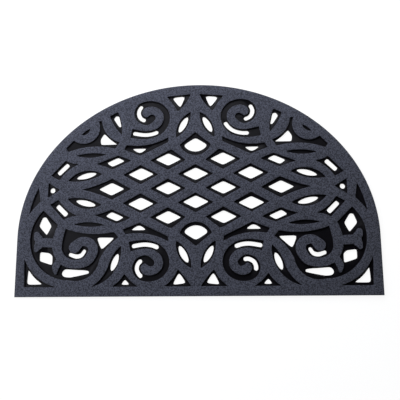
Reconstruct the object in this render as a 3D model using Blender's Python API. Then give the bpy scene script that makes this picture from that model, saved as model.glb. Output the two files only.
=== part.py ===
"""Half round rubber doormat with raised flocked straps in a wrought-iron scroll and lattice pattern.

The mat is one moulding. Its straps stand full height, and between them a thinner web fills each pocket,
with a hole through the web so that dirt and water fall out. The pattern is drawn in millimetres, x from
the middle line and y from the straight edge, for the right half, and mirrored to the left.
"""

import math

import bmesh
import bpy
from mathutils import Vector
from mathutils.geometry import delaunay_2d_cdt

MM = 0.001

# Overall sizes, millimetres
WIDTH = 750.0
DEPTH = 450.0
THICKNESS = 8.0
WEB_THICKNESS = 3.5
STRAIGHT_SIDE = 121.0
ARCH_STEPS = 84

# How finely arcs are stepped: the most a chord may stray from its arc
CHORD_ERROR = 0.3
FILLET_STEPS = 2
BAND_STEPS = 3
CAP_STEPS = 6
CIRCLE_STEPS = 16
# Points nearer than this are one
WELD_MM = 0.001

# The lattice of crossing straps: half the distance between crossings, and the height of its middle row
HALF_PITCH_X = 58.0
HALF_PITCH_Y = 30.4
LATTICE_Y = 222.8
# The holes are mirrored about a line of their own, for the mould's pins sit a little above the pattern
PIN_LINE_Y = 223.8
# Half diagonals of a cell's pocket and of the hole through its web
CELL_POCKET = (36.8, 20.6)
CELL_HOLE = (27.4, 13.8)
POCKET_FILLET = 1.6
HOLE_FILLET = 4.0
# For holes of two or three corners, which are sharper
SHARP_HOLE_FILLET = 6.2

# The lattice's own cells: column and row in half pitches, whether a corner is drawn out towards the
# scroll above it, 1, or below it, -1, and how far the hole sits above the middle of its pocket
LATTICE_CELLS = (
    # column, row, spur, hole rise
    (0, 1, 0, 1.2),
    (0, -1, 0, 2.0),
    (1, 2, 1, 3.0),
    (1, 0, 0, 1.5),
    (1, -2, -1, 0.2),
    (2, 1, 0, 1.9),
    (2, -1, 0, -1.0),
)
# Where that corner is drawn out to: its x, and its height above or below the lattice's middle row
SPUR_X = 50.0
SPUR_REACH = 83.5

# Pockets and holes in the lower half that are repeated upside down in the upper half. Each corner is x, y
# and bow: how far the side that leaves it bulges out, or in where bow is negative. Corners run anticlockwise.
TWICE_POCKETS = {
    "petal": ((9.8, 56.8, 10.2), (40.5, 112.3, 9.0)),
    "under_lattice": (
        (57.3, 112.0, -8.0),
        (146.5, 127.5, 0.0),
        (152.0, 137.0, 0.0),
        (117.0, 150.5, 0.0),
        (57.8, 121.8, 0.0),
    ),
    "fish": ((137.0, 161.5, 0.5), (165.0, 150.3, 0.0), (210.5, 168.0, -1.0), (176.5, 179.3, 0.0)),
    "blade": ((191.0, 147.0, 3.8), (254.5, 149.0, 5.0)),
    "eye": ((198.5, 189.8, 13.8), (270.5, 203.5, 6.6)),
    "side_slot": ((250.0, 167.3, -2.0), (277.5, 159.3, 0.0), (307.5, 191.5, 0.0), (290.0, 201.3, -4.0)),
}
TWICE_HOLES = {
    "petal": ((15.2, 66.0, 7.0), (36.0, 104.6, 6.0)),
    "under_lattice": ((103.5, 136.2, 0.0), (136.5, 136.1, 0.5), (119.0, 146.8, 0.5)),
    "fish": ((151.5, 163.2, 0.0), (165.8, 155.3, 0.0), (190.0, 166.3, 0.0), (178.0, 175.2, 0.0)),
    "eye": ((209.5, 189.0, 6.4), (256.5, 200.4, 5.4)),
    "side_slot": ((269.3, 172.2, 0.0), (276.6, 165.4, 0.0), (297.6, 186.4, 0.0), (290.7, 193.2, 0.0)),
}

# Pockets and holes that stand once on each side
SIDE_POCKETS = {
    "lattice_end": ((136.8, 222.8, 0.0), (176.5, 200.8, -2.0), (239.0, 222.8, -2.0), (176.5, 245.2, 0.0)),
    "side_triangle": ((288.3, 222.8, 0.0), (313.0, 206.8, 0.0), (312.8, 238.0, 0.0)),
    "narrow_triangle": ((334.0, 228.0, 0.0), (329.0, 198.5, -1.0), (351.5, 172.0, 2.0)),
    "corner_triangle": ((291.5, 20.3, 0.0), (354.8, 20.3, 0.0), (357.2, 77.0, -10.0)),
    "long_petal": ((155.5, 103.0, 19.3), (214.0, 20.5, -4.0), (181.5, 59.5, 4.0)),
    "small_triangle": ((119.5, 20.3, 0.0), (171.5, 20.3, -2.0), (147.0, 45.5, -2.0)),
    "bottom_triangle": ((10.0, 20.3, 0.0), (64.0, 20.3, -3.0), (37.0, 53.8, 1.0)),
    "top_triangle": ((9.5, 429.0, 3.0), (37.5, 391.5, -1.0), (60.5, 424.3, 0.0)),
    "top_slot": ((158.5, 342.5, 2.5), (184.5, 383.3, 0.0), (167.5, 392.3, 3.5)),
    "yoke": (
        (162.5, 324.5, 0.0),
        (172.0, 311.5, -8.0),
        (273.0, 306.0, 0.0),
        (278.0, 313.5, 0.0),
        (262.0, 330.5, -27.0),
        (208.5, 372.5, 0.0),
        (202.0, 372.5, -9.5),
    ),
    "nick": ((227.0, 356.0, 4.5), (245.0, 342.5, 1.5)),
    "loop": (
        (161.5, 121.0, -4.0),
        (200.0, 75.5, 17.0),
        (262.0, 34.0, 25.0),
        (347.0, 118.0, 6.5),
        (321.3, 179.0, 0.0),
        (289.5, 147.8, 0.0),
        (271.0, 139.0, -7.0),
        (170.5, 131.8, 0.0),
    ),
}
SIDE_HOLES = {
    "lattice_end": ((151.0, 224.0, 0.0), (178.5, 210.2, 0.0), (206.0, 224.0, 0.0), (178.5, 237.8, 0.0)),
    "corner_triangle": ((318.0, 25.8, 0.0), (351.8, 25.6, 0.0), (350.0, 57.5, -3.0)),
    "long_petal": ((161.0, 89.5, 6.3), (176.5, 49.6, 6.3)),
    "small_triangle": ((136.8, 24.0, 0.0), (155.0, 24.0, 0.0), (146.8, 35.0, 0.0)),
    "bottom_triangle": ((20.5, 26.5, 0.0), (48.5, 23.3, 0.0), (35.3, 48.0, 0.0)),
    "top_triangle": ((21.3, 426.0, 0.0), (32.5, 400.5, 0.0), (50.0, 423.3, 1.0)),
    "top_slot": (
        (160.0, 360.3, 0.0),
        (164.6, 360.0, 0.0),
        (177.3, 379.0, 0.0),
        (172.3, 385.8, 0.0),
        (165.5, 384.2, 0.0),
    ),
    "yoke": ((167.8, 321.5, 0.0), (203.5, 321.3, 0.0), (205.5, 333.5, 0.0), (197.3, 346.5, -1.5)),
    "loop_top": (
        (304.3, 146.5, 0.0),
        (314.2, 127.2, 0.0),
        (331.5, 146.8, 0.0),
        (324.3, 165.2, 0.0),
        (316.7, 165.5, 0.0),
    ),
    "loop_leaf": (
        (300.0, 65.0, 0.0),
        (327.3, 73.8, 0.0),
        (326.9, 92.3, 0.0),
        (306.5, 89.8, 0.0),
        (299.7, 83.8, 0.0),
    ),
    "loop_foot": (
        (222.0, 47.6, 0.5),
        (262.0, 39.4, 0.0),
        (274.5, 40.6, 1.0),
        (279.5, 48.5, 0.5),
        (272.5, 56.4, 0.0),
        (245.0, 54.4, 0.5),
        (222.5, 52.4, 0.0),
    ),
    "loop_gap": ((169.5, 120.8, 0.0), (197.3, 95.5, 0.0), (208.0, 121.5, 0.0)),
}
# Centre x, centre y and radius
SIDE_TRIANGLE_HOLE = (305.0, 222.6, 5.4)

# The two pockets on the middle line, lower one, and their holes
MIDDLE_POCKET = ((0.0, 101.8, 0.0), (33.0, 128.8, 22.5), (-33.0, 128.8, 0.0))
MIDDLE_HOLE = ((0.0, 114.0, 0.0), (25.5, 130.2, 14.6), (-25.5, 130.2, 0.0))

# The scroll's channel, from its eye outwards: x, y and half width. It is cut as a pocket.
SCROLL = (
    (93.0, 68.0, 7.4),
    (104.0, 75.0, 8.2),
    (118.0, 69.0, 8.3),
    (122.5, 55.0, 8.2),
    (114.0, 41.0, 7.0),
    (96.0, 36.0, 5.9),
    (76.5, 41.5, 6.0),
    (64.0, 55.0, 6.1),
    (61.2, 71.0, 6.3),
    (67.5, 88.0, 6.7),
    (83.0, 101.0, 7.6),
    (107.0, 106.0, 8.5),
    (137.0, 101.5, 9.8),
)
# Slots through the web of each scroll. The mould's pins aren't the same on both sides.
# Start and end are counted in rows of SCROLL.
SCROLL_SLOT_HALF = 4.3
SCROLL_SLOTS = (
    # upper, side, start, end
    (False, 1, 0.8, 3.0),
    (False, -1, 1.8, 3.93),
    (False, 1, 10.05, 11.78),
    (False, -1, 9.93, 11.68),
    (True, 1, 1.3, 3.55),
    (True, -1, 1.5, 3.7),
    (True, 1, 8.78, 11.1),
    (True, -1, 10.05, 11.72),
)

# Straps that stand inside each loop: x, y and half width along the middle of the strap
LOOP_STRAPS = {
    "scroll": (
        (280.0, 148.0, 9.0),
        (284.5, 134.0, 10.2),
        (289.5, 112.0, 10.8),
        (287.0, 90.0, 9.6),
        (273.0, 72.5, 9.8),
        (250.0, 66.5, 9.2),
        (226.0, 72.5, 10.0),
        (213.5, 93.0, 10.4),
        (220.0, 109.0, 10.2),
        (238.0, 113.0, 9.8),
        (252.5, 101.0, 12.2),
    ),
    "leaf_stem": ((292.0, 110.5, 9.5), (312.0, 111.5, 10.0), (328.0, 112.0, 9.0)),
    "leaf_upper": ((322.0, 114.0, 7.0), (330.5, 121.0, 9.0), (333.0, 128.5, 6.5)),
    "leaf_lower": ((322.0, 110.0, 7.0), (329.5, 105.0, 9.0), (333.5, 96.5, 5.0)),
    "drop": ((281.0, 77.0, 8.0), (287.6, 67.5, 7.6), (291.2, 58.5, 7.4), (290.8, 48.8, 3.6)),
}
# The crescent hole inside the loop's scroll, along its middle
CRESCENT = ((233.3, 93.0, 3.8), (239.6, 84.8, 4.3), (250.0, 82.5, 4.3), (262.3, 86.3, 3.7))

FLOCK_COLOUR = (0.065, 0.071, 0.090, 1.0)
RUBBER_COLOUR = (0.010, 0.010, 0.011, 1.0)


def clear_scene():
    for thing in list(bpy.data.objects):
        bpy.data.objects.remove(thing, do_unlink=True)


def new_material(name, colour, roughness):
    made = bpy.data.materials.new(name)
    made.use_nodes = True
    made.diffuse_color = colour
    shader = made.node_tree.nodes["Principled BSDF"]
    shader.inputs["Base Color"].default_value = colour
    shader.inputs["Roughness"].default_value = roughness
    shader.inputs["Metallic"].default_value = 0.0
    return made


def on_arc(start, end, bow, share):
    """The point that share of the way along an arc from start to end that bulges to the right by bow."""
    chord = end - start
    half = chord.length / 2
    if abs(bow) < 0.01:
        return start.lerp(end, share)
    radius = (half * half + bow * bow) / (2 * bow)
    right = Vector((chord.y, -chord.x)).normalized()
    centre = (start + end) / 2 + right * (bow - radius)
    arm = start - centre
    turn = 4 * math.atan2(bow, half) * share
    cos, sin = math.cos(turn), math.sin(turn)
    return centre + Vector((arm.x * cos - arm.y * sin, arm.x * sin + arm.y * cos))


def arc_length(start, end, bow):
    half = (end - start).length / 2
    if abs(bow) < 0.01:
        return 2 * half
    radius = (half * half + bow * bow) / (2 * abs(bow))
    return radius * 4 * math.atan2(abs(bow), half)


def arc_steps(start, end, bow):
    if abs(bow) < 0.01:
        return 1
    half = (end - start).length / 2
    radius = (half * half + bow * bow) / (2 * abs(bow))
    return max(2, math.ceil(arc_length(start, end, bow) / math.sqrt(8 * radius * CHORD_ERROR)))


def outline(corners, fillet):
    """A closed outline through the corners, with sides bowed and corners filleted."""
    places = [Vector((x, y)) for x, y, _ in corners]
    bows = [bow for _, _, bow in corners]
    sides = list(zip(places, places[1:] + places[:1], bows))
    points = []
    for index, (start, end, bow) in enumerate(sides):
        length = arc_length(start, end, bow)
        trim = min(fillet / length, 0.3)
        before = sides[index - 1]
        trim_before = min(fillet / arc_length(*before), 0.3)
        enter = on_arc(*before, 1 - trim_before)
        leave = on_arc(start, end, bow, trim)
        for step in range(1, FILLET_STEPS):
            share = step / FILLET_STEPS
            points.append(enter.lerp(start, share).lerp(start.lerp(leave, share), share))
        steps = arc_steps(start, end, bow)
        for step in range(steps + 1):
            points.append(on_arc(start, end, bow, trim + (1 - 2 * trim) * step / steps))
    return points


def ellipse_point(centre, across, up, angle):
    return Vector((centre[0] + across * math.cos(angle), centre[1] + up * math.sin(angle)))


def mat_outline():
    """The straight edge, two short straight sides and a half ellipse over them."""
    rise = DEPTH - STRAIGHT_SIDE
    points = [Vector((-WIDTH / 2, 0)), Vector((WIDTH / 2, 0))]
    for step in range(ARCH_STEPS + 1):
        points.append(ellipse_point((0, STRAIGHT_SIDE), WIDTH / 2, rise, math.pi * step / ARCH_STEPS))
    return points


def cell(centre_x, centre_y, halves, fillet, spur=None):
    """A diamond of the lattice, with one corner drawn out to spur where it has one."""
    across, up = halves
    corners = [
        (centre_x + across, centre_y, 0),
        (centre_x, centre_y + up, 0),
        (centre_x - across, centre_y, 0),
        (centre_x, centre_y - up, 0),
    ]
    if spur is not None:
        place = 2 if spur[1] > centre_y else 3
        corners.insert(place, (spur[0], spur[1], 0))
    return outline(corners, fillet)


def through(rows, place):
    """x, y and half width at that place, counted in rows, on a smooth curve through the rows."""
    last = len(rows) - 1
    first = min(int(place), last - 1)
    share = place - first
    picked = [rows[max(0, min(last, first + offset))] for offset in (-1, 0, 1, 2)]
    result = []
    for a, b, c, d in zip(*picked):
        curve = (2 * a - 5 * b + 4 * c - d) * share + (3 * b - a - 3 * c + d) * share * share
        result.append(b + 0.5 * share * ((c - a) + curve))
    return result


def band(rows, start=0.0, end=None, half=None, square_end=False):
    """The outline of a strap or slot that follows the rows, with round ends or a square far end."""
    end = len(rows) - 1 if end is None else end
    steps = max(2, math.ceil((end - start) * BAND_STEPS))
    stations = [through(rows, start + (end - start) * step / steps) for step in range(steps + 1)]
    places = [Vector((x, y)) for x, y, _ in stations]
    widths = [width if half is None else half for _, _, width in stations]
    headings = []
    for index in range(steps + 1):
        ahead = places[min(index + 1, steps)]
        behind = places[max(index - 1, 0)]
        headings.append((ahead - behind).normalized())
    sides = [Vector((way.y, -way.x)) * width for way, width in zip(headings, widths)]
    right = [place + side for place, side in zip(places, sides)]
    left = [place - side for place, side in zip(places, sides)]
    near_end = round_cap(places[0], -sides[0], -headings[0], widths[0])
    far_end = round_cap(places[-1], sides[-1], headings[-1], widths[-1])
    if square_end:
        far_end = [right[-1], left[-1]]
    return right[1:-1] + far_end + left[-2:0:-1] + near_end


def round_cap(place, side, heading, width):
    """The points that close a band's end, from the edge that side points at round to the other one."""
    angles = [math.pi * step / CAP_STEPS for step in range(CAP_STEPS + 1)]
    return [place + side * math.cos(angle) + heading * width * math.sin(angle) for angle in angles]


def circle(centre_x, centre_y, radius):
    angles = [math.tau * step / CIRCLE_STEPS for step in range(CIRCLE_STEPS)]
    return [ellipse_point((centre_x, centre_y), radius, radius, angle) for angle in angles]


def mirrored(points):
    return [Vector((-point.x, point.y)) for point in points]


def turned_over(points, middle_y=LATTICE_Y):
    return [Vector((point.x, 2 * middle_y - point.y)) for point in points]


def both_sides(outlines):
    return outlines + [mirrored(points) for points in outlines]


def all_four(outlines, middle_y=LATTICE_Y):
    return both_sides(outlines + [turned_over(points, middle_y) for points in outlines])


def lattice_cells(halves, fillet, are_holes):
    found = []
    for column, row, spur, hole_rise in LATTICE_CELLS:
        centre_x = column * HALF_PITCH_X
        centre_y = LATTICE_Y + row * HALF_PITCH_Y + (hole_rise if are_holes else 0)
        tip = (SPUR_X, LATTICE_Y + spur * SPUR_REACH) if spur and not are_holes else None
        diamond = cell(centre_x, centre_y, halves, fillet, tip)
        found.append(diamond)
        if column:
            found.append(mirrored(diamond))
    return found


def scroll_slot(upper, side, start, end):
    points = band(SCROLL, start, end, SCROLL_SLOT_HALF)
    points = turned_over(points, PIN_LINE_Y) if upper else points
    return mirrored(points) if side < 0 else points


def pocket_outlines():
    middle = outline(MIDDLE_POCKET, POCKET_FILLET)
    channel = band(SCROLL, square_end=True)
    found = [middle, turned_over(middle)]
    found += lattice_cells(CELL_POCKET, POCKET_FILLET, are_holes=False)
    found += all_four([outline(corners, POCKET_FILLET) for corners in TWICE_POCKETS.values()])
    found += all_four([channel])
    found += both_sides([outline(corners, POCKET_FILLET) for corners in SIDE_POCKETS.values()])
    return found


def hole(corners):
    return outline(corners, HOLE_FILLET if len(corners) > 3 else SHARP_HOLE_FILLET)


def hole_outlines():
    middle = hole(MIDDLE_HOLE)
    found = [middle, turned_over(middle, PIN_LINE_Y)]
    found += lattice_cells(CELL_HOLE, HOLE_FILLET, are_holes=True)
    found += all_four([hole(corners) for corners in TWICE_HOLES.values()], PIN_LINE_Y)
    found += both_sides([hole(corners) for corners in SIDE_HOLES.values()])
    found += both_sides([circle(*SIDE_TRIANGLE_HOLE), band(CRESCENT)])
    found += [scroll_slot(*row) for row in SCROLL_SLOTS]
    return found


def anticlockwise(loop):
    area = sum(a.x * b.y - b.x * a.y for a, b in zip(loop, loop[1:] + loop[:1]))
    return loop if area > 0 else loop[::-1]


def split_plane(loops):
    """Triangles of the plane cut along all the loops, each with the numbers of the loops that hold it."""
    points, faces = [], []
    for loop in loops:
        faces.append(list(range(len(points), len(points) + len(loop))))
        points += anticlockwise(loop)
    places, _, triangles, _, _, holders = delaunay_2d_cdt(points, [], faces, 1, WELD_MM)
    return places, list(zip(triangles, holders))


def levels(edge, pockets, holes, straps):
    """The points, and each triangle's three points and height, for the upper side of the mat."""
    first_hole = 1 + len(pockets)
    first_strap = first_hole + len(holes)
    places, triangles = split_plane([edge] + pockets + holes + straps)
    found = []
    for triangle, holders in triangles:
        if max(holders) >= first_strap or max(holders) == 0:
            height = THICKNESS
        elif max(holders) >= first_hole:
            height = 0.0
        else:
            height = WEB_THICKNESS
        found.append((triangle, height))
    return places, found


def solid_mat(name, edge, pockets, holes, straps, materials):
    """One closed solid: straps at full height, web in the pockets, and walls wherever the height changes."""
    work = bmesh.new()

    def corner(place, height):
        return work.verts.new((place.x * MM, (place.y - DEPTH / 2) * MM, height * MM))

    places, triangles = levels(edge, pockets, holes, straps)
    walls = {}
    for triangle, height in triangles:
        if height > 0:
            face = work.faces.new([corner(places[index], height) for index in triangle])
            face.material_index = 0 if height == THICKNESS else 1
        for start, end in zip(triangle, triangle[1:] + triangle[:1]):
            walls[start, end] = height
    for (start, end), height in walls.items():
        beyond = walls.get((end, start), 0.0)
        if height > beyond:
            rim = [(start, beyond), (end, beyond), (end, height), (start, height)]
            face = work.faces.new([corner(places[index], level) for index, level in rim])
            face.material_index = 1
    places, triangles = split_plane([edge] + holes)
    for triangle, holders in triangles:
        if max(holders) == 0:
            face = work.faces.new([corner(places[index], 0.0) for index in reversed(triangle)])
            face.material_index = 1
    bmesh.ops.remove_doubles(work, verts=work.verts, dist=WELD_MM * MM)
    mesh = bpy.data.meshes.new(name)
    work.to_mesh(mesh)
    work.free()
    for material in materials:
        mesh.materials.append(material)
    return bpy.data.objects.new(name, mesh)


def main():
    clear_scene()
    doormat = bpy.data.collections.new("doormat")
    bpy.context.scene.collection.children.link(doormat)
    flock = new_material("flock", FLOCK_COLOUR, 0.95)
    rubber = new_material("rubber", RUBBER_COLOUR, 0.6)
    straps = both_sides([band(rows) for rows in LOOP_STRAPS.values()])
    mat = solid_mat("mat", mat_outline(), pocket_outlines(), hole_outlines(), straps, (flock, rubber))
    doormat.objects.link(mat)


main()
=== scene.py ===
# %% [markdown]
# # A half round doormat in flocked rubber
#
# The real mat is one moulding of black rubber. Raised straps draw a lattice, scrolls and petals, a thinner
# web fills the pockets between them, and drain holes go through the web. Glue is then rolled on the straps
# alone and a very short grey pile, the flock, is blown into it. This lesson starts from the mat's packed
# solid, gives a copy of it the soft shapes of moulded rubber and pile, and then makes the two finishes.
#
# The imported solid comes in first, because every piece is placed by it.

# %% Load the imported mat
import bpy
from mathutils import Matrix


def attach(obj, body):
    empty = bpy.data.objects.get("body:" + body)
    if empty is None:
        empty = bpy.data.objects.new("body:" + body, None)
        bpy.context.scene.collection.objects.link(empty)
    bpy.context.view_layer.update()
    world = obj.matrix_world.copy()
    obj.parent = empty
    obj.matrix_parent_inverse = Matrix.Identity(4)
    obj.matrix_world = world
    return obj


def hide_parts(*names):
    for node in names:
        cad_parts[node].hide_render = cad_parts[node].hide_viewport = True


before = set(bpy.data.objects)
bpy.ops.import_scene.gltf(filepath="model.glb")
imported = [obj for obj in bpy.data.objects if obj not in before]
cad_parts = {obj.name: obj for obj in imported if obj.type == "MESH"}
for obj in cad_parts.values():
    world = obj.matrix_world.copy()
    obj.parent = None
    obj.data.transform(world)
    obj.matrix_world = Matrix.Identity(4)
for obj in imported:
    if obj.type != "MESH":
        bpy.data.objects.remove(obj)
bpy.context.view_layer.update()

# %% [markdown]
# ## The tools
#
# Blender's bpy makes objects and materials, and bmesh shapes a mesh point by point and edge by edge. Blender
# measures in metres, so sizes are written as so many times MM.

# %% The tools
import math

import bmesh
import bpy
from mathutils import Vector
from mathutils.kdtree import KDTree

MM = 0.001

# %% [markdown]
# ## The camera
#
# The photograph was taken from almost straight above, from a little over one metre, and the mat lies a
# trifle askew in it. A camera without any turn looks straight down in Blender, so its place and three small
# angles are all that it needs. They were found by matching the mirrored pairs of drain holes.

# %% Camera
EYE = (0.05888, -0.19879, 1.03446)
# Tilt towards the arch, lean to the left, and turn in the picture
TURN_DEG = (9.420, 2.835, -0.378)
LENS_MM = 45.0

lens = bpy.data.cameras.new("camera")
lens.lens = LENS_MM
lens.sensor_width = 36.0
camera = bpy.data.objects.new("camera", lens)
camera.location = EYE
camera.rotation_euler = [math.radians(angle) for angle in TURN_DEG]
bpy.context.scene.collection.objects.link(camera)
bpy.context.scene.camera = camera
print("the camera is", round(camera.location.length, 3), "m from the middle of the mat")

# %% [markdown]
# ## Helpers for finishes
#
# Colours are written as the hex values that a paint program shows. Blender's shaders work with linear
# light, so one function converts them. A second one adds a node to a material: it sets what is named, and
# fills each socket with a value, or with a link where it is given another node's output. A third one starts
# a material with the shader that every finish here ends in.

# %% Colour and node helpers
def linear(hex_colour):
    """The linear colour, with alpha, of an sRGB hex value."""
    parts = [int(hex_colour[start : start + 2], 16) / 255 for start in (1, 3, 5)]
    return [part / 12.92 if part < 0.04045 else ((part + 0.055) / 1.055) ** 2.4 for part in parts] + [1.0]


def add(tree, kind, sockets, **settings):
    """A new node. Each socket is given by name or number, with its value or the output that feeds it."""
    made = tree.nodes.new(kind)
    for name, value in settings.items():
        setattr(made, name, value)
    for name, value in sockets.items():
        if isinstance(value, bpy.types.NodeSocket):
            tree.links.new(value, made.inputs[name])
        else:
            made.inputs[name].default_value = value
    return made


def new_finish(name):
    """A material with its node tree and its Principled shader."""
    made = bpy.data.materials.new(name)
    made.use_nodes = True
    return made, made.node_tree, made.node_tree.nodes["Principled BSDF"]


# %% [markdown]
# ## The white studio
#
# The photograph has a pure white ground and no shadow, as on a lit table. A plane would do for the camera's
# own view, but from a low angle its far edge would show. So the floor is a wide dish: a line of points, flat
# and then curving up, is spun about the upright axis as on a lathe.

# %% White floor with a raised rim
FLOOR_RADIUS = 2.4
RIM_RADIUS = 0.9
RIM_HEIGHT = 1.6
RIM_STEPS = 8
LATHE_STEPS = 48
# Just under the mat, so that the two don't share a plane
FLOOR_DROP = 0.2 * MM

work = bmesh.new()
profile = [work.verts.new((reach, 0, -FLOOR_DROP)) for reach in (0.0, FLOOR_RADIUS)]
for step in range(1, RIM_STEPS + 1):
    angle = math.pi / 2 * step / RIM_STEPS
    out = FLOOR_RADIUS + RIM_RADIUS * math.sin(angle)
    profile.append(work.verts.new((out, 0, RIM_RADIUS * (1 - math.cos(angle)) - FLOOR_DROP)))
profile.append(work.verts.new((FLOOR_RADIUS + RIM_RADIUS, 0, RIM_HEIGHT)))
for low, high in zip(profile, profile[1:]):
    work.edges.new((low, high))
bmesh.ops.spin(
    work,
    geom=work.verts[:] + work.edges[:],
    axis=(0, 0, 1),
    cent=(0, 0, 0),
    angle=math.tau,
    steps=LATHE_STEPS,
    use_merge=True,
)
bmesh.ops.remove_doubles(work, verts=work.verts, dist=0.01 * MM)
for face in work.faces:
    face.smooth = True
mesh = bpy.data.meshes.new("floor")
work.to_mesh(mesh)
work.free()
floor = bpy.data.objects.new("floor", mesh)
bpy.context.scene.collection.objects.link(floor)
print("floor:", len(mesh.polygons), "faces")

# %% [markdown]
# ## A floor that glows
#
# On a lit table the light comes from below as well, which leaves no shadow. The paint therefore glows, almost
# to pure white round the mat and less further out. A lamp under a frosted sheet would do the same, as in the
# real table, but it takes much longer to render.

# %% Lit white paint
FLOOR_GLOW = 0.91
FAR_GLOW = 0.42
# Where the glow starts to fade, and where it has faded, metres from the middle of the mat
FADE_START = 0.6
FADE_END = 2.4


def spread(tree, value, start, end, low, high):
    """Spreads the values from start to end over the range from low to high."""
    sockets = {"Value": value, "From Min": start, "From Max": end, "To Min": low, "To Max": high}
    return add(tree, "ShaderNodeMapRange", sockets).outputs[0]


floor_paint, tree, shader = new_finish("lit_white_studio_floor")
place = add(tree, "ShaderNodeTexCoord", {}).outputs["Object"]
reach = add(tree, "ShaderNodeVectorMath", {0: place}, operation="LENGTH").outputs["Value"]
glow = spread(tree, reach, FADE_START, FADE_END, FLOOR_GLOW, FAR_GLOW)
tree.links.new(glow, shader.inputs["Emission Strength"])
shader.inputs["Base Color"].default_value = linear("#808080")
shader.inputs["Roughness"].default_value = 0.9
shader.inputs["Emission Color"].default_value = linear("#ffffff")
mesh.materials.append(floor_paint)
print("floor paint glows", FLOOR_GLOW, "round the mat and", FAR_GLOW, "far out")

# %% [markdown]
# ## Soft light from the upper left
#
# The straps are lightest at the top of the arch and darkest in the lower right corner, and the bare rubber
# shines a little on the left. One large soft light beyond the arch and another on the left do both, with a
# trace of cool daylight in them, and a dim sky fills in. Nothing bright hangs right above the mat, because
# it would shine in the black pockets.

# %% Lights
COOL_WHITE = "#f4f7ff"
SKY_STRENGTH = 0.01


def soft_light(name, place, size, power):
    """A square soft light that faces the middle of the mat."""
    lamp = bpy.data.lights.new(name, "AREA")
    lamp.size = size
    lamp.energy = power
    lamp.color = linear(COOL_WHITE)[:3]
    made = bpy.data.objects.new(name, lamp)
    made.location = place
    made.rotation_euler = (-Vector(place)).to_track_quat("-Z", "Y").to_euler()
    bpy.context.scene.collection.objects.link(made)


soft_light("far_light", place=(-0.06, 0.71, 0.68), size=0.6, power=5.9)
soft_light("left_light", place=(-0.9, 0.1, 0.8), size=0.5, power=5.1)

sky = bpy.data.worlds.new("studio")
sky.use_nodes = True
sky.node_tree.nodes["Background"].inputs["Color"].default_value = linear("#ffffff")
sky.node_tree.nodes["Background"].inputs["Strength"].default_value = SKY_STRENGTH
bpy.context.scene.world = sky
bpy.context.scene.view_settings.view_transform = "Standard"
print("lights:", [lamp.name for lamp in bpy.data.lights])

# %% [markdown]
# ## A clean copy of the solid
#
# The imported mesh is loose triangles. A copy is merged, and the edges that only cut up a flat face are taken
# out again. Each wall is then a row of four-sided faces, which can be cut in two without a crumple, and the
# tops are a few large faces with no slivers in them.

# %% Merge the copy
MERGE = 0.03 * MM
WEB_TOP = 3.5 * MM
FLAT_DEG = 1.0


def is_wall(face):
    """True for a face that joins two heights."""
    heights = [vert.co.z for vert in face.verts]
    return max(heights) - min(heights) > MERGE


def meets_wall(edge):
    return any(is_wall(face) for face in edge.link_faces)


def is_level(edge):
    return abs(edge.verts[0].co.z - edge.verts[1].co.z) < MERGE


def is_upright(edge):
    return (edge.verts[1].co - edge.verts[0].co).xy.length < MERGE


def is_slant(edge):
    """True for an edge that cuts a wall from corner to corner."""
    return all(is_wall(face) for face in edge.link_faces) and not is_level(edge) and not is_upright(edge)


work = bmesh.new()
work.from_mesh(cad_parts["mat"].data)
bmesh.ops.remove_doubles(work, verts=work.verts, dist=MERGE)
slants = [edge for edge in work.edges if is_slant(edge)]
bmesh.ops.dissolve_edges(work, edges=slants, use_verts=False)
flat = [edge for edge in work.edges if not meets_wall(edge)]
bmesh.ops.dissolve_limit(work, angle_limit=math.radians(FLAT_DEG), verts=[], edges=flat, delimit=set())
print("merged copy:", len(work.verts), "points,", len(work.faces), "faces")

# %% [markdown]
# ## Rounder outlines
#
# The solid steps its curves to stay light, and from close up the steps would show. Each rim edge is halved
# and its new middle point moves out onto the curve through the neighbours: nine parts of the edge's two
# ends, less one part of the two points beyond them. Subdivision Surface would round the outlines too, but
# it would pull in every corner. Here a corner between two long sides stays a corner. The rims of one wall
# have the same plan, so their points move alike and the wall stays upright.

# %% Find the curve that a rim follows
CORNER_DEG = 65.0
LONG_SIDE = 4.0 * MM


def way_on(here, other, rims):
    """Where the rim goes from here, or None where it forks, and how sharply it turns there."""
    along = here.co - other.co
    ways = [edge.other_vert(here).co - here.co for edge in here.link_edges if edge in rims]
    ways = [way for way in ways if (way + along).length > MERGE]
    if len(ways) != 1:
        return None, 0.0
    return ways[0], math.degrees(ways[0].angle(along))


def beyond(here, other, rims):
    """A point that carries the rim on past here, no further than other is, or straight on past a corner."""
    along = here.co - other.co
    way, turn = way_on(here, other, rims)
    if way is None or turn > CORNER_DEG and min(way.length, along.length) > LONG_SIDE:
        return here.co + along
    return here.co + way.normalized() * min(way.length, along.length)


# %% [markdown]
# ## Halve the rims
#
# The new points are known before the mesh is cut, but the cut doesn't say which point came from which edge.
# A KDTree finds the nearest one of a list of places quickly, and here it finds the middle that each new
# point was made on.

# %% Halve the rims and lift the middles
# A rim that turns more than this is halved however short it is
SHARP_DEG = 25.0
SHORTEST = 0.5 * MM
# The longest edge that the first round and the second round leave whole
LEFT_WHOLE = (1.6 * MM, 2.2 * MM)


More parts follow.
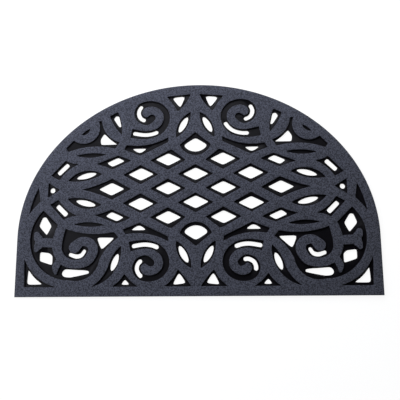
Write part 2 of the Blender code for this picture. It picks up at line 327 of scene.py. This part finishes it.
def halve_rims(longest):
    """Halves each rim edge that is longer than this or turns sharply, and lifts its middle to the curve."""
    rims = dict.fromkeys(edge for edge in work.edges if is_level(edge) and meets_wall(edge))
    cut, middles, lifted = [], [], []
    for edge in rims:
        start, end = edge.verts
        sharp = max(way_on(start, end, rims)[1], way_on(end, start, rims)[1]) > SHARP_DEG
        if edge.calc_length() > (SHORTEST if sharp else longest):
            ends = start.co + end.co
            outer = beyond(start, end, rims) + beyond(end, start, rims)
            middles.append(ends / 2)
            lifted.append((9 * ends - outer) / 16)
            cut.append(edge)
    nearest = KDTree(len(middles))
    for index, middle in enumerate(middles):
        nearest.insert(middle, index)
    nearest.balance()
    made = bmesh.ops.subdivide_edges(work, edges=cut, cuts=1)
    across = []
    for item in made["geom_inner"]:
        if isinstance(item, bmesh.types.BMVert):
            _, index, _ = nearest.find(item.co)
            item.co = lifted[index]
        elif not meets_wall(item):
            across.append(item)
    # The halving cuts level faces across too, and beside a hollow corner such a cut lies outside the face
    bmesh.ops.dissolve_edges(work, edges=across, use_verts=False)
    print("halved", len(cut), "rim edges:", len(work.verts), "points")


for longest in LEFT_WHOLE:
    halve_rims(longest)

# %% [markdown]
# ## Straps with a rounded shoulder and a pile
#
# The straps' tops are lowered first. Then insets build them up again: each one shrinks the top by a little
# and lifts it by a little. The first two round the rubber's edge, the next two are the pile's side, and
# the last two its soft shoulder. Insets suit a shape with so many inner corners better than a bevel, whose
# strips would cross there. In a tight corner the shrunk rim's points come close to each other, so before
# each inset those that are less than half its step apart are welded, and none can pass its neighbour.

# %% Inset the straps' tops
SHOULDER_START = 6.9 * MM
# Inward and upward, millimetres
RUBBER_SHOULDER = ((0.10, 0.20), (0.20, 0.10))
PILE_SHOULDER = ((0.05, 0.28), (0.12, 0.20), (0.33, 0.20), (0.60, 0.12))
RUBBER_SLOT, FLOCK_SLOT = 0, 1


def strap_tops():
    """The level faces that are higher than the web."""
    return [face for face in work.faces if not is_wall(face) and face.calc_center_median().z > WEB_TOP + MM]


def set_level(faces, level):
    for vert in {vert for face in faces for vert in face.verts}:
        vert.co.z = level


level = SHOULDER_START
set_level(strap_tops(), level)
for slot, steps in ((RUBBER_SLOT, RUBBER_SHOULDER), (FLOCK_SLOT, PILE_SHOULDER)):
    for inward, upward in steps:
        rim = dict.fromkeys(vert for face in strap_tops() for vert in face.verts)
        bmesh.ops.remove_doubles(work, verts=list(rim), dist=inward * MM / 2)
        tops = strap_tops()
        made = bmesh.ops.inset_region(
            work, faces=tops, use_boundary=True, use_even_offset=True, thickness=inward * MM, depth=0
        )
        for face in made["faces"]:
            face.material_index = slot
        level += upward * MM
        set_level(tops, level)
        work.normal_update()
for face in tops:
    face.material_index = FLOCK_SLOT
print("top of the pile:", max(vert.co.z for vert in work.verts) / MM, "mm")

# %% [markdown]
# ## Soft edges round the drain holes
#
# Rubber leaves the mould with small radii. The upper edge of each drain hole is bevelled in two steps. Its
# corners are wide and its sides long, so a bevel has room here.

# %% Bevel the holes' upper edges
HOLE_EASE = 0.25 * MM


def is_hole_edge(edge):
    """True for an edge between the web's flat top and the wall of a hole below it."""
    if not is_level(edge) or abs(edge.verts[0].co.z - WEB_TOP) > MERGE:
        return False
    return any(is_wall(face) and face.calc_center_median().z < WEB_TOP for face in edge.link_faces)


edges = [edge for edge in work.edges if is_hole_edge(edge)]
bmesh.ops.bevel(
    work,
    geom=edges,
    offset=HOLE_EASE,
    offset_type="OFFSET",
    affect="EDGES",
    segments=2,
    profile=0.5,
    material=-1,
    clamp_overlap=False,
)
print("bevelled", len(edges), "hole edges")

# %% [markdown]
# ## The finished shape
#
# Every face that slopes is shaded smooth, so that the narrow strips read as round edges. A fold of more than
# 40 degrees stays sharp, such as the one at the foot of a wall. The level areas of flock and of bare web are
# measured too.

# %% Make the mat's object
SHARP_FOLD_DEG = 40
# The upward part of a normal, for a face that counts as level
LEVEL_NORMAL = 0.99


def level_area(slot):
    faces = [face for face in work.faces if face.normal.z > LEVEL_NORMAL and face.material_index == slot]
    return sum(face.calc_area() for face in faces)


work.normal_update()
for face in work.faces:
    if is_wall(face):
        face.smooth = True
mesh = bpy.data.meshes.new("doormat")
work.to_mesh(mesh)
flock_area = level_area(FLOCK_SLOT)
web_area = level_area(RUBBER_SLOT)
print("volume", work.calc_volume(), "flock", flock_area, "web", web_area)
work.free()
mesh.set_sharp_from_angle(angle=math.radians(SHARP_FOLD_DEG))
doormat = bpy.data.objects.new("doormat", mesh)
bpy.context.scene.collection.objects.link(doormat)
print("doormat:", len(mesh.polygons), "faces")

# %% [markdown]
# ## Black moulded rubber
#
# The mat is moulded from reclaimed rubber. It gives a deep black with a trace of violet and a fine crumb, and
# a dull gloss that is a little uneven where the mould was worn. Noise draws both, small for the crumb and
# large for the worn patches, so the finish needs no picture file.

# %% Rubber
CRUMB = 0.6 * MM
CRUMB_DEPTH = 0.12 * MM
WORN_PATCH = 25 * MM
RUBBER_DARK, RUBBER_LIGHT = "#060508", "#0e0b13"
# Roughness where the mould was polished and where it was worn
POLISHED, WORN = 0.46, 0.58


def noise(tree, place, size, detail, roughness=0.5):
    """Noise with grains of about this size. Detail adds finer and finer ones to them."""
    sockets = {"Vector": place, "Scale": 1 / size, "Detail": detail, "Roughness": roughness}
    return add(tree, "ShaderNodeTexNoise", sockets).outputs["Fac"]


def blend(tree, share, low, high):
    """A colour between two. Socket 0 of a Mix node takes the share, and 6 and 7 take the colours."""
    return add(tree, "ShaderNodeMix", {0: share, 6: low, 7: high}, data_type="RGBA").outputs[2]


def moulded_rubber():
    made, tree, shader = new_finish("moulded_reclaimed_rubber")
    place = add(tree, "ShaderNodeTexCoord", {}).outputs["Object"]
    crumb = noise(tree, place, CRUMB, detail=3.0)
    patches = noise(tree, place, WORN_PATCH, detail=2.0)
    colour = blend(tree, crumb, linear(RUBBER_DARK), linear(RUBBER_LIGHT))
    gloss = spread(tree, patches, 0.3, 0.7, POLISHED, WORN)
    bump = add(tree, "ShaderNodeBump", {"Strength": 0.5, "Distance": CRUMB_DEPTH, "Height": crumb})
    tree.links.new(colour, shader.inputs["Base Color"])
    tree.links.new(gloss, shader.inputs["Roughness"])
    tree.links.new(bump.outputs[0], shader.inputs["Normal"])
    shader.inputs["IOR"].default_value = 1.52
    # The pits of the crumb trap light, so it shines less than smooth rubber would
    shader.inputs["Specular IOR Level"].default_value = 0.18
    return made


doormat.data.materials.append(moulded_rubber())
print("rubber: crumb of", CRUMB / MM, "mm, worn patches of", WORN_PATCH / MM, "mm")

# %% [markdown]
# ## Flock
#
# Flock is nylon fibre, half a millimetre to one millimetre long, that stands upright in glue. It is matt,
# with a faint sheen where the fibres are seen from the side. The fibres bunch, so the grey is finely
# mottled. On the shoulder of a strap the colour is darker. This is partly because the pile is thin there
# and the black rubber shows through, and partly painted shade along the straps' edges. Hair would draw each
# fibre, but hundreds of them would fill one pixel of this picture, so a mottled colour does as well.

# %% Pile
FIBRE_GRAIN = 0.3 * MM
# Real bunches of fibre are finer. They are drawn this coarse, with finer and finer detail in them, or
# nothing of them would show from a metre away.
BUNCH = 2.4 * MM
PILE_UNEVENNESS = 0.25 * MM
FLOCK_DARK, FLOCK_LIGHT = "#23252d", "#626574"
# The shoulder's colour, where the rubber shows through the thin pile and painted shade darkens the edge,
# and the heights between which it goes over to the dense pile
SPARSE_FLOCK_AND_SHADE = "#16171a"
THIN_SHADED_PILE = 7.2 * MM
DENSE_UNSHADED_PILE = 7.7 * MM


def blown_flock():
    made, tree, shader = new_finish("blown_nylon_flock")
    place = add(tree, "ShaderNodeTexCoord", {}).outputs["Object"]
    grain = noise(tree, place, FIBRE_GRAIN, detail=1.0)
    mottle = noise(tree, place, BUNCH, detail=5.0, roughness=0.65)
    # Noise keeps near its middle value, so that part is spread out to get light and dark bunches
    bunches = spread(tree, mottle, 0.41, 0.59, -0.12, 0.67)
    share = add(
        tree,
        "ShaderNodeMath",
        {0: grain, 1: 0.45, 2: bunches},
        operation="MULTIPLY_ADD",
        use_clamp=True,
    ).outputs[0]
    grey = blend(tree, share, linear(FLOCK_DARK), linear(FLOCK_LIGHT))
    height = add(tree, "ShaderNodeSeparateXYZ", {0: place}).outputs[2]
    # Painted shade: low on the shoulder the pile is darker, partly for the thin pile and partly for edge
    # shade
    density_and_shade = spread(tree, height, THIN_SHADED_PILE, DENSE_UNSHADED_PILE, 0.0, 1.0)
    colour = blend(tree, density_and_shade, linear(SPARSE_FLOCK_AND_SHADE), grey)
    bump = add(tree, "ShaderNodeBump", {"Strength": 0.6, "Distance": PILE_UNEVENNESS, "Height": share})
    tree.links.new(colour, shader.inputs["Base Color"])
    tree.links.new(bump.outputs[0], shader.inputs["Normal"])
    shader.inputs["Roughness"].default_value = 0.95
    shader.inputs["Specular IOR Level"].default_value = 0.15
    shader.inputs["Sheen Weight"].default_value = 0.25
    shader.inputs["Sheen Roughness"].default_value = 0.6
    return made


doormat.data.materials.append(blown_flock())
print("finishes:", [finish.name for finish in doormat.data.materials])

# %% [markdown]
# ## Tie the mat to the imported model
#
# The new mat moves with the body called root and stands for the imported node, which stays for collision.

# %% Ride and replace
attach(doormat, "root")
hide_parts("mat")
